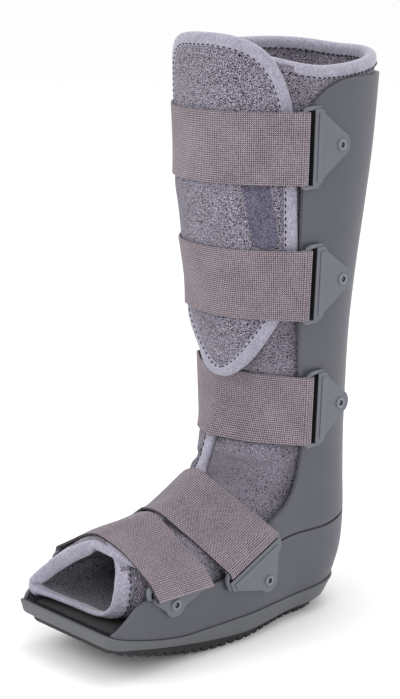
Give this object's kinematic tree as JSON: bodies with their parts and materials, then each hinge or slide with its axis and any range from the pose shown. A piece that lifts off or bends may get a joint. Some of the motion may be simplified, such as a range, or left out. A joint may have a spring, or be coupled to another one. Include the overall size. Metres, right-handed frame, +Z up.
{
  "type": "medical walking boot",
  "caption": "Tall medical walking boot: rigid shell on a rocker sole, padded open-toe liner with a shin flap, held by webbing straps in riveted loops.",
  "frame": {"origin": "middle of the boot's footprint, on the floor", "axes": "+Z up along the leg, toes towards -Y, +X towards the side that the picture shows nearest"},
  "size_m": [0.1376, 0.2762, 0.428],
  "materials": {
    "shell": "satin moulded grey",
    "sole": "matte moulded dark grey",
    "tread": "matte black tread rubber",
    "insole": "dark brushed foam insole",
    "lining": "pebbled loop fabric over foam",
    "binding": "smooth folded edge tape, stitched",
    "webbing": "woven warm grey webbing",
    "hook_tape": "fuzzy slate hook tape",
    "rivet": "dark satin rivet with a hollow middle"
  },
  "bodies": {
    "root": {"outsole": "tread", "midsole": "sole", "insole": "insole", "foot_shell": "shell", "upright_shell": "shell", "liner": "lining", "collar_binding": "binding", "toe_binding": "binding", "overlap_panel": "lining", "overlap_binding": "binding", "shin_flap": "lining", "flap_binding": "binding", "hook_strip": "hook_tape", "loop_calf_left": "shell", "rivet_calf_left": "rivet", "loop_calf_right": "shell", "rivet_calf_right": "rivet", "loop_shin_left": "shell", "rivet_shin_left": "rivet", "loop_shin_right": "shell", "rivet_shin_right": "rivet", "loop_ankle_left": "shell", "rivet_ankle_left": "rivet", "loop_ankle_right": "shell", "rivet_ankle_right": "rivet", "loop_instep_left": "shell", "rivet_instep_left": "rivet", "loop_instep_right": "shell", "rivet_instep_right": "rivet", "loop_toe_left": "shell", "rivet_toe_left": "rivet", "loop_toe_right": "shell", "rivet_toe_right": "rivet", "strap_calf": "webbing", "strap_shin": "webbing", "strap_ankle": "webbing", "strap_instep": "webbing", "strap_toe": "webbing"}
  },
  "joints": []
}
